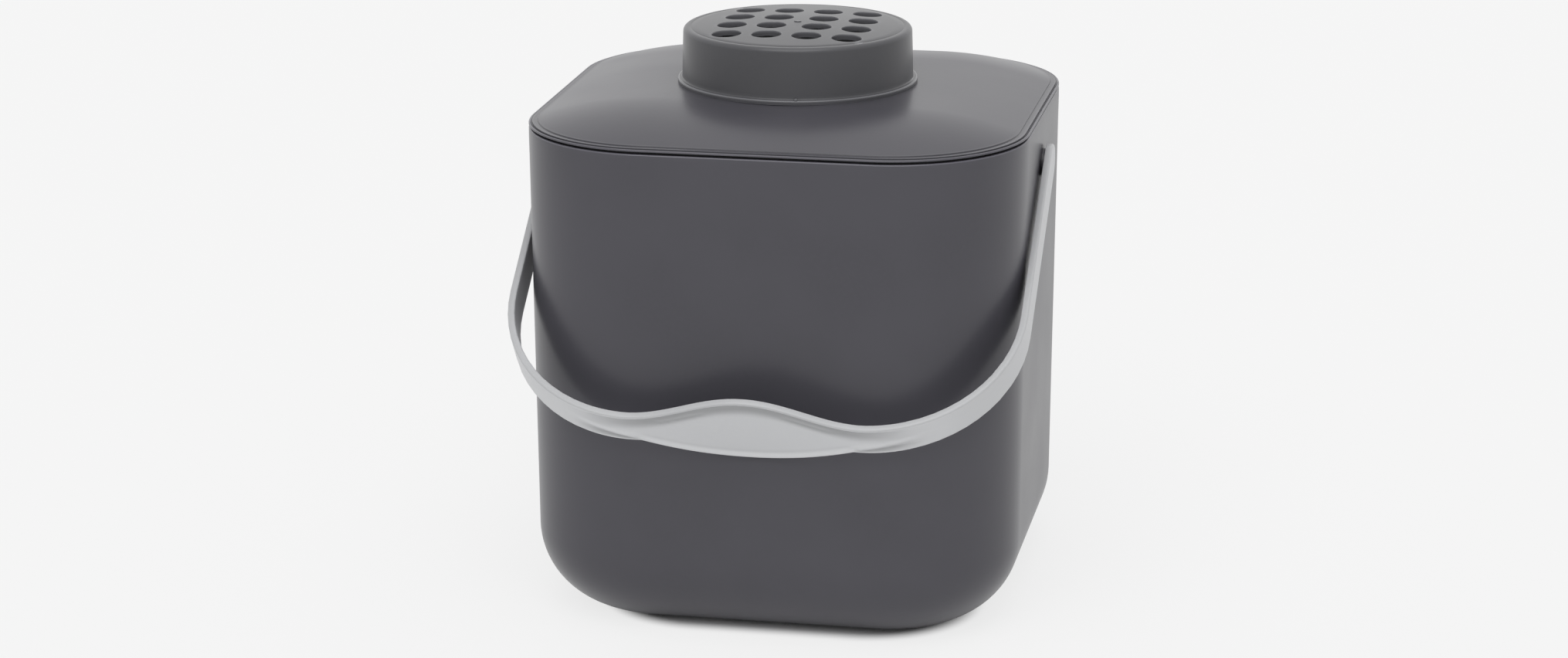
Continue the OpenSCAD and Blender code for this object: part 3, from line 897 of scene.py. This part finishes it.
class Bail:
    """Shape of the handle by formula, along the strap and across it."""

    ACROSS = 88
    SIDES = 5

    def __init__(self, sizes):
        self.sizes = sizes
        self.outside = sizes.inside + sizes.thick
        self.bend_x = self.outside - sizes.bend
        self.bend_y = sizes.reach - sizes.bend
        self.curve = sizes.bend * pi / 2
        self.end = self.bend_x + self.curve + self.bend_y

    def spine(self, along):
        """Point of the outer face and its inward direction, for a distance from the middle."""
        a = abs(along)
        flip = -1 if along < 0 else 1
        if a <= self.bend_x:
            wave = pi * a / self.bend_x
            point = (a, self.sizes.reach - self.sizes.dip * (1 + cos(wave)) / 2)
            slope = self.sizes.dip * pi / (2 * self.bend_x) * sin(wave)
            size = hypot(1, slope)
            inward = (slope / size, -1 / size)
        elif a <= self.bend_x + self.curve:
            radius = self.sizes.bend
            turn = (a - self.bend_x) / radius
            inward = (-sin(turn), -cos(turn))
            point = (self.bend_x - radius * inward[0], self.bend_y - radius * inward[1])
        else:
            point = (self.outside, self.bend_y - (a - self.bend_x - self.curve))
            inward = (-1.0, 0.0)
        return (point[0] * flip, point[1]), (inward[0] * flip, inward[1])

    def edges(self, along):
        """Distances of the strap's lower and upper edge from its middle line."""
        a = abs(along)
        strap = self.sizes.width / 2
        swell = self.sizes.pad / 2 - strap
        upper = lower = strap
        if a < self.sizes.pad_long / 2:
            upper += swell * cos(pi * a / self.sizes.pad_long) ** 2
        if a < self.sizes.notch:
            lower += swell * cos(pi * a / (2 * self.sizes.notch))
        past = a - self.end
        if past > 0:
            upper = lower = sqrt(max(strap**2 - past**2, 0.0))
        return lower, upper

    def relief(self, along, height):
        """Depth of the outer face below the strap's surface, and its painted shade, negative for
        painted highlight.

        All in millimetres: a from the middle of the pad, past from its notches outwards, and
        top and bottom from the two edges.
        """
        a = abs(along) / MM
        lower, upper = self.edges(along)
        top = (upper - height) / MM
        bottom = (height + lower) / MM
        past = max(a - self.sizes.notch / MM, 0.0)
        # where along the strap: the hollow, its ridges, the grooves of the notches, the pad
        fade = 1 - smooth(a, 34, 78)
        ends = smooth(a, 12, 20) * (1 - smooth(a, 30, 38))
        notch = smooth(a, 40, 47) * (1 - smooth(a, 54, 74))
        pad = 1 - smooth(a, 36, 46)
        # what lies across it
        cove = smooth(top, 0.9, 2.6) * fade * self.sizes.hollow / MM
        rise = 1 - 0.55 * smooth(top, 4.4, 9.0)
        lip = smooth(bottom - 0.46 * past, 1.0, 2.3 + 0.12 * past)
        ridge = 0.25 * bell(top, 5.4, 0.6)
        groove = bell(bottom, 0.5 + 0.14 * past, 0.5 + 0.08 * past) * notch
        depth = max(cove * rise * lip - ridge * ends + 0.6 * groove, 0.0)
        # painted shade in the cove, along ridge and groove lines, above the lower lip and on the
        # bends, more on the right; painted highlight, where negative, on the lower band of the pad
        # and beside the notches
        shade = smooth(top, 0.6, 2.6) * (1 - smooth(top, 5.2, 9.6)) * fade
        shade += (0.3 * bell(top, 6.8, 0.6) - ridge) * ends + 1.1 * groove
        shade += 0.15 * bell(bottom, 3.9, 0.9) * pad
        shade -= 0.6 * (1 - smooth(bottom, 2.4, 3.6)) * pad
        shade -= 0.6 * bell(bottom, 3.1 + 0.2 * past, 0.9) * notch
        shade += (0.22 if along > 0 else 0.1) * smooth(a, 62, 95)
        return depth * MM, min(max(shade, -1.0), 1.0)

    def section(self, along):
        """Closed outline of the strap at one place: heights, depths and painted shade, negative for
        painted highlight.
        """
        lower, upper = self.edges(along)
        narrow = min(lower, upper)
        out, back = min(0.8 * MM, narrow * 0.5), min(0.6 * MM, narrow * 0.4)
        thick = self.sizes.thick
        deep = thick - back
        span = upper + lower - 2 * out
        heights = [-lower + out + span * i / (self.ACROSS - 1) for i in range(self.ACROSS)]
        points = [(h, *self.relief(along, h)) for h in heights]
        turns = [pi / 2 * i / self.SIDES for i in range(self.SIDES + 1)]
        quarter = [(cos(t), sin(t)) for t in turns]
        # the upper edge takes painted shade, the corner behind it painted highlight and the back
        # face painted shade again
        dust = 0.58 + 0.25 * smooth(-along / MM, 100, 170)
        high, low = upper - out, -lower + out
        points += [(high + out * v, out - out * u, dust) for u, v in quarter[1:]]
        points.append((upper, thick / 2, dust))
        high_back, low_back = upper - back, -lower + back
        corner_highlight = 0.7
        points += [(high_back + back * u, deep + back * v, dust * u - corner_highlight * v) for u, v in quarter]
        inner = upper + lower - 2 * back
        points += [(high_back - inner * i / 11, thick, 0.5) for i in range(1, 11)]
        points += [(low_back - back * v, deep + back * u, 0.0) for u, v in quarter]
        points.append((-lower, thick / 2, 0.0))
        points += [(low - out * u, out - out * v, 0.0) for u, v in quarter[:-1]]
        return points

    def stations(self):
        """Distances from the middle at which the sections stand."""
        fine = [i * MM for i in range(65)]
        strap = self.end - fine[-1]
        count = round(strap / (2 * MM))
        plain = [fine[-1] + strap * i / count for i in range(1, count + 1)]
        turns = [radians(t) for t in range(6, 85, 6)]
        half = fine + plain + [self.end + self.sizes.width / 2 * sin(t) for t in turns]
        return [-x for x in half[:0:-1]] + half

    def place(self, point):
        """Turn a point of the flat bail to where it rests."""
        x, y, z = point
        a = pi + self.sizes.rest
        return x, y * cos(a) - z * sin(a), y * sin(a) + z * cos(a) + self.sizes.pivot


def spot(place):
    """Key for a corner of a mesh: its place to the micrometre."""
    return tuple(round(part, 6) for part in place)


def make_handle(sizes, body):
    """Handle: a tube of sections along the strap, with its snap pegs."""
    bail = Bail(sizes)
    stations = bail.stations()
    sections = [bail.section(along) for along in stations]
    spines = [bail.spine(along) for along in stations]
    rings, around = len(stations), len(sections[0])
    strap = add("cylinder", "strap", vertices=around, radius=1, depth=1)
    with editing(strap, "EDGE"):
        pick("edges", lambda middle, way: abs(way.z) > 0.9)
        bpy.ops.mesh.subdivide(number_cuts=rings - 2)
    shades = {}
    for corner in strap.data.vertices:
        ring = round((corner.co.z + 0.5) * (rings - 1))
        step = round(atan2(corner.co.y, corner.co.x) / (2 * pi) * around) % around
        height, depth, shade = sections[ring][step]
        (x, y), (dx, dy) = spines[ring]
        corner.co = bail.place((x + dx * depth, y + dy * depth, -height))
        shades[spot(corner.co)] = shade
    face_outwards(strap)

    snap = inner_face(body, sizes.pivot) - 0.8 * MM
    z = sizes.pivot
    peg = rod("peg", sizes.peg, (snap - 0.3 * MM, 0, z), (sizes.inside + 0.5 * MM, 0, z), 48)
    head = rod("head", sizes.peg + 0.8 * MM, (snap - 1.4 * MM, 0, z), (snap, 0, z), 48)
    ease_ends(head, 0, 0.4 * MM)
    carve(strap, mirrored([peg, head]), "UNION")
    ends = (snap - 3 * MM, -0.6 * MM, z - 8 * MM), (snap + 2 * MM, 0.6 * MM, z + 8 * MM)
    carve(strap, mirrored([block("slot", *ends)]), "DIFFERENCE")

    # painted shade from the sections, and painted highlight where their value is negative
    keep(strap, "dust", lambda place: max(shades.get(spot(place), 0.0), 0.0))
    keep(strap, "worn", lambda place: max(-shades.get(spot(place), 0.0), 0.0))
    return strap


# --- operators ---


class CADDY_OT_body(Operator):
    """Model the rounded-square body with its rim, base, bosses and hinge lugs"""

    bl_idname = "caddy.body"
    bl_label = "Body"

    def execute(self, context):
        scene = context.scene
        piece = make_body(scene.caddy_body, scene.caddy_lid, scene.caddy_handle)
        finish = moulded("graphite_body", scene.caddy_finishes.graphite, 0.3, 9e-6, worn=0.85)
        complete(piece, "caddy_body", finish, "caddy", "bin_body")
        return {"FINISHED"}


class CADDY_OT_lid(Operator):
    """Model the domed lid with its groove, skirt, collar and knuckles"""

    bl_idname = "caddy.lid"
    bl_label = "Lid"

    def execute(self, context):
        scene = context.scene
        piece = make_lid(scene.caddy_body, scene.caddy_lid, scene.caddy_cap)
        finish = moulded("graphite_lid", scene.caddy_finishes.graphite, 0.3, 9e-6)
        complete(piece, "hinged_lid", finish, "lid", "lid_shell")
        return {"FINISHED"}


class CADDY_OT_cap(Operator):
    """Model the vented filter cap"""

    bl_idname = "caddy.cap"
    bl_label = "Filter cap"

    def execute(self, context):
        scene = context.scene
        piece = make_cap(scene.caddy_cap)
        finish = moulded("cap_plastic_grained", scene.caddy_finishes.cap, 0.31, 11e-6, worn=0.9)
        complete(piece, "vented_cap", finish, "cap", "filter_cap")
        return {"FINISHED"}


class CADDY_OT_filter(Operator):
    """Model the charcoal felt disc that lies in the tray"""

    bl_idname = "caddy.filter"
    bl_label = "Charcoal filter"

    def execute(self, context):
        finish = felt("charcoal_fibres", context.scene.caddy_finishes.charcoal)
        complete(make_filter(), "charcoal_disc", finish, "lid", "charcoal_filter")
        return {"FINISHED"}


class CADDY_OT_handle(Operator):
    """Model the bail handle with its leaf-shaped grip and snap pegs"""

    bl_idname = "caddy.handle"
    bl_label = "Handle"

    def execute(self, context):
        scene = context.scene
        piece = make_handle(scene.caddy_handle, scene.caddy_body)
        shade = scene.caddy_finishes.handle
        finish = moulded("light_grey_handle", shade, 0.36, 6e-6, 0.02, 0.15, 0.0, 1.48)
        complete(piece, "bail_handle", finish, "handle", "carry_handle", 50)
        return {"FINISHED"}


class CADDY_OT_small_parts(Operator):
    """Finish the seal, the hinge pins and the filter tray"""

    bl_idname = "caddy.small_parts"
    bl_label = "Seal, pins and tray"

    def execute(self, context):
        paint = context.scene.caddy_finishes
        steel = brushed_steel("drawn_steel", paint.steel)
        give("lid_seal", soft_rubber("soft_seal", paint.seal))
        give("hinge_pin_left", steel)
        give("hinge_pin_right", steel)
        give("filter_tray", moulded("tray_plastic_grained", paint.tray, 0.5, 8e-6))
        return {"FINISHED"}


class CADDY_OT_stage(Operator):
    """Lay the floor, hang the lamps and set the camera"""

    bl_idname = "caddy.stage"
    bl_label = "Stage"

    def execute(self, context):
        make_floor(context.scene.caddy_finishes.floor)
        make_world(context.scene)
        hang_lamps()
        set_camera(context.scene)
        context.scene.view_settings.view_transform = "Standard"
        return {"FINISHED"}


# --- stage ---


def make_floor(shade):
    """Near-white floor, which keeps its own colour and the shadow where the base stands."""
    floor = add("plane", "floor", size=12)
    paint = new_paint("floor_paper")
    haze = paint.noise(0.5, 1.0)
    tone = paint.mix(haze, full(shade, 0.995), full(shade, 1.005))
    paper = paint.skin(tone, 0.95, **{"Specular IOR Level": 0.1})
    bright = paint.node("Emission", {"Color": full(shade, 0.99)})
    squares = []
    for axis, middle, half in (("X", 0.004, 0.032), ("Y", 0.0, 0.04)):
        part = paint.node("SeparateXYZ", {"Vector": paint.place()}, axis)
        away = ((part - middle).math("ABSOLUTE") - half).math("MAXIMUM", 0.0)
        squares.append(away * away)
    distance = (squares[0] + squares[1]).math("SQRT")
    glossy = paint.node("LightPath", output="Is Glossy Ray")
    shadow_start, shadow_end, white = 0.037, glossy * 0.016 + 0.0485, 0.85
    open_floor = paint.rays() * paint.window(distance, shadow_start, shadow_end, 0.0, white)
    surface = paint.node("MixShader", (open_floor, paper, bright))
    floor.data.materials.append(paint.close(surface))


def make_world(scene):
    """White surroundings for camera and gloss, and an even light for the rest."""
    paint = Paint(bpy.data.worlds.new("studio"))
    ambient = 0.5
    level = paint.rays() * (1 - ambient) + ambient
    light = paint.node("Background", {"Strength": level, "Color": (1, 1, 1, 1)})
    scene.world = paint.close(light, "OutputWorld")


def hang_lamps():
    """Soft lamps: one in front and one above."""
    lamps = (("front", 178, 55, 1.5, 56), ("top", 20, 78, 0.4, 60))
    for name, azimuth, elevation, power, spread in lamps:
        a, e = radians(azimuth), radians(elevation)
        away = Vector((sin(a) * cos(e), cos(a) * cos(e), sin(e)))
        lamp = bpy.data.lights.new(name, "SUN")
        lamp.energy = power
        lamp.angle = radians(spread)
        holder = bpy.data.objects.new(name, lamp)
        bpy.context.collection.objects.link(holder)
        holder.location = away * 3
        holder.rotation_mode = "QUATERNION"
        holder.rotation_quaternion = away.to_track_quat("Z", "Y")


def set_camera(scene):
    """Camera in front, a little to the right and above."""
    yaw, pitch, roll = 0.1933575, 0.2794323, -0.0021369
    place = (0.2827231, -1.4781843, 0.5344058)
    sensor, focal_pixels, image_width = 36, 4901.167, 2030
    level = cos(pitch)
    ahead = Vector((-sin(yaw) * level, cos(yaw) * level, -sin(pitch)))
    right = Vector((cos(yaw), sin(yaw), 0))
    up = right.cross(ahead)
    across = cos(roll) * right + sin(roll) * up
    above = -sin(roll) * right + cos(roll) * up
    data = bpy.data.cameras.new("studio_camera")
    data.sensor_width = sensor
    data.lens = sensor * focal_pixels / image_width
    data.clip_start, data.clip_end = 0.01, 50
    camera = bpy.data.objects.new("studio_camera", data)
    scene.collection.objects.link(camera)
    turn = Matrix((across, above, -ahead)).transposed().to_4x4()
    camera.matrix_world = Matrix.Translation(place) @ turn
    scene.camera = camera


# --- panel and registration ---

PIECES = (CADDY_OT_body, CADDY_OT_lid, CADDY_OT_cap, CADDY_OT_filter, CADDY_OT_handle)
OPERATORS = PIECES + (CADDY_OT_small_parts, CADDY_OT_stage)
SETTINGS = {
    "caddy_body": BodySizes,
    "caddy_lid": LidSizes,
    "caddy_cap": CapSizes,
    "caddy_handle": HandleSizes,
    "caddy_finishes": Finishes,
}


class CADDY_PT_panel(Panel):
    """Pieces, sizes and colours of the caddy"""

    bl_label = "Compost caddy"
    bl_idname = "CADDY_PT_panel"
    bl_space_type = "VIEW_3D"
    bl_region_type = "UI"
    bl_category = "Caddy"

    def draw(self, context):
        for operator in OPERATORS:
            self.layout.operator(operator.bl_idname)
        for name, group in SETTINGS.items():
            box = self.layout.box()
            for setting in group.__annotations__:
                box.prop(getattr(context.scene, name), setting)


CLASSES = (*SETTINGS.values(), *OPERATORS, CADDY_PT_panel)


def register():
    """Register the settings, the operators and the panel."""
    for kind in CLASSES:
        bpy.utils.register_class(kind)
    for name, group in SETTINGS.items():
        setattr(bpy.types.Scene, name, PointerProperty(type=group))


def unregister():
    """Take them away."""
    for name in SETTINGS:
        delattr(bpy.types.Scene, name)
    for kind in reversed(CLASSES):
        bpy.utils.unregister_class(kind)


def main():
    """Make every piece and the stage."""
    register()
    for operator in OPERATORS:
        getattr(bpy.ops.caddy, operator.bl_idname.split(".")[1])()


if __name__ == "__main__":
    main()
